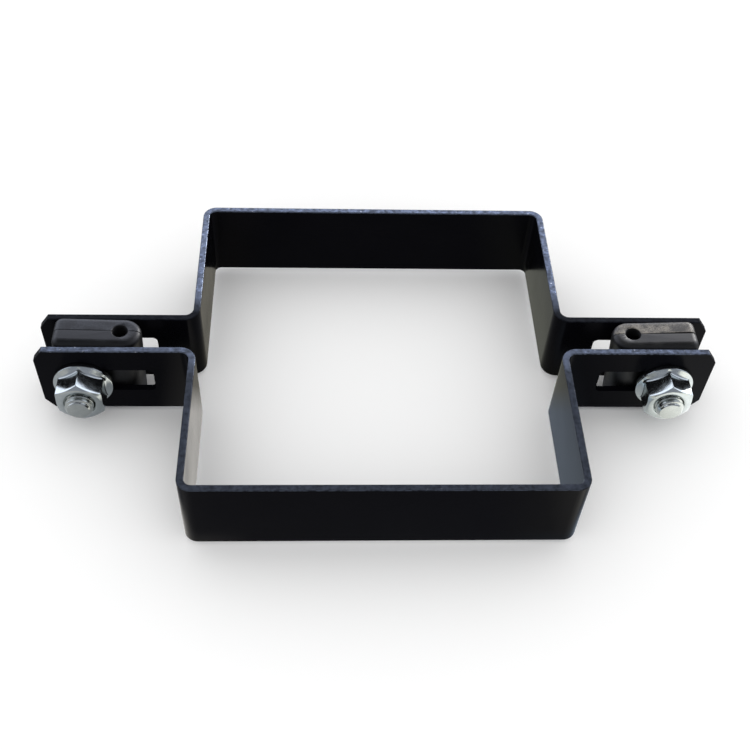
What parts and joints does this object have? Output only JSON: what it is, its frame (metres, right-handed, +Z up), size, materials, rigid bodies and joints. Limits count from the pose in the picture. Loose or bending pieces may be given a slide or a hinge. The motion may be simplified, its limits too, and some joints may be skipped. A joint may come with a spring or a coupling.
{
  "type": "u bracket post clamp",
  "caption": "Folded steel straps bolted round a square fence post, with split plastic clips between the ears that grip a panel's upright wires.",
  "frame": {"origin": "middle of the post opening, level with the clips' lower ends", "axes": "+X along the ears to the right, +Y along the bolts towards their heads (the nuts are at -Y), +Z up along the post"},
  "size_m": [0.196, 0.1074, 0.028],
  "materials": {
    "coated_steel": "black powder coat, semi-gloss",
    "clip_plastic": "black moulded plastic, fine grain",
    "zinc_plate": "bright zinc plating on steel"
  },
  "bodies": {
    "root": {"rear_strap": "coated_steel", "front_strap": "coated_steel", "left_clip_front": "clip_plastic", "left_clip_rear": "clip_plastic", "right_clip_front": "clip_plastic", "right_clip_rear": "clip_plastic", "left_bolt": "zinc_plate", "right_bolt": "zinc_plate", "left_nut": "zinc_plate", "right_nut": "zinc_plate"}
  },
  "joints": []
}
